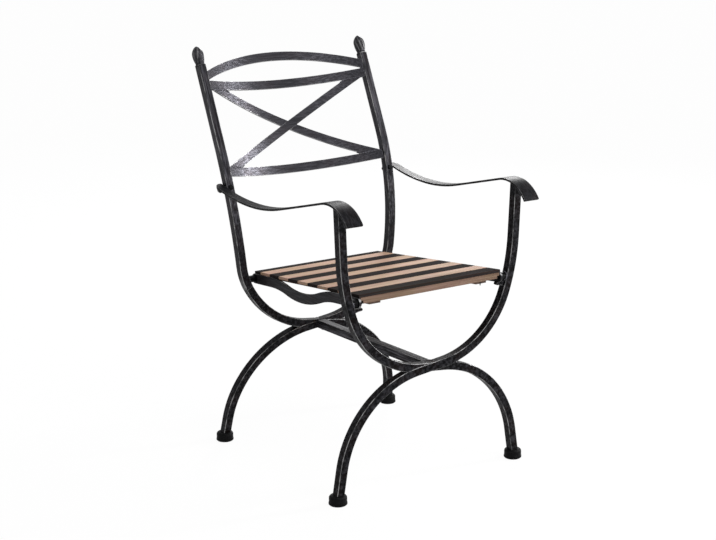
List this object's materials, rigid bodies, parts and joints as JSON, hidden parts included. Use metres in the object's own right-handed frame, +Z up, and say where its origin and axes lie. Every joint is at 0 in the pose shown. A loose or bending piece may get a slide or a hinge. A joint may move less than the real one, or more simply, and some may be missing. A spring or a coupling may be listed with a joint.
{
  "type": "garden armchair",
  "caption": "Armchair with two crossed frames of bent square tube, a bowed crossed back, flat scroll arms and a striped slatted seat.",
  "frame": {"origin": "on the floor under the centre of the chair's outline, in its plane of symmetry", "axes": "+X to the sitter's left, +Y to the back, +Z up"},
  "size_m": [0.55, 0.7196, 0.9607],
  "materials": {
    "frame_paint": "satin, antique black with grey edges",
    "bar_paint": "satin, antique black brushed with silver grey",
    "bright_steel": "zinc plated",
    "dark_steel": "satin black",
    "foot_plastic": "matte",
    "dark_slat": "satin blue-black stain",
    "tan_slat": "satin, pale tan",
    "brown_wood": "oiled"
  },
  "bodies": {
    "root": {"front_tube_through": "frame_paint", "front_tube_lower": "frame_paint", "front_tube_upper": "frame_paint", "rear_leg_left": "frame_paint", "rear_leg_right": "frame_paint", "rear_branch_left": "frame_paint", "rear_branch_right": "frame_paint", "back_post_left": "frame_paint", "back_post_right": "frame_paint", "finial_left": "frame_paint", "finial_right": "frame_paint", "stretcher": "frame_paint", "arm_left": "bar_paint", "arm_right": "bar_paint", "seat_side_rail_left": "bar_paint", "seat_side_rail_right": "bar_paint", "arm_lug_left": "bar_paint", "arm_lug_right": "bar_paint", "back_bottom_rail": "bar_paint", "back_second_rail": "bar_paint", "back_arch_rail": "bar_paint", "back_cross_bar": "bar_paint", "back_cross_half_lower": "bar_paint", "back_cross_half_upper": "bar_paint", "finial_washers": "bar_paint", "seat_washers": "bright_steel", "stretcher_bolt": "bright_steel", "seat_studs": "dark_steel", "seat_nuts": "dark_steel", "seat_spacer_front_left": "dark_steel", "seat_spacer_front_right": "dark_steel", "seat_spacer_rear_left": "dark_steel", "seat_spacer_rear_right": "dark_steel", "arm_bolts": "dark_steel", "arm_nuts": "dark_steel", "batten_screws": "dark_steel", "foot_cap_front_left": "foot_plastic", "foot_cap_front_right": "foot_plastic", "foot_cap_rear_left": "foot_plastic", "foot_cap_rear_right": "foot_plastic", "seat_slat_01": "dark_slat", "seat_slat_03": "dark_slat", "seat_slat_05": "dark_slat", "seat_slat_07": "dark_slat", "seat_slat_09": "dark_slat", "seat_slat_11": "dark_slat", "seat_slat_02": "tan_slat", "seat_slat_04": "tan_slat", "seat_slat_06": "tan_slat", "seat_slat_08": "tan_slat", "seat_slat_10": "tan_slat", "seat_front_rail": "brown_wood", "seat_batten_left": "brown_wood", "seat_batten_right": "brown_wood"}
  },
  "joints": []
}
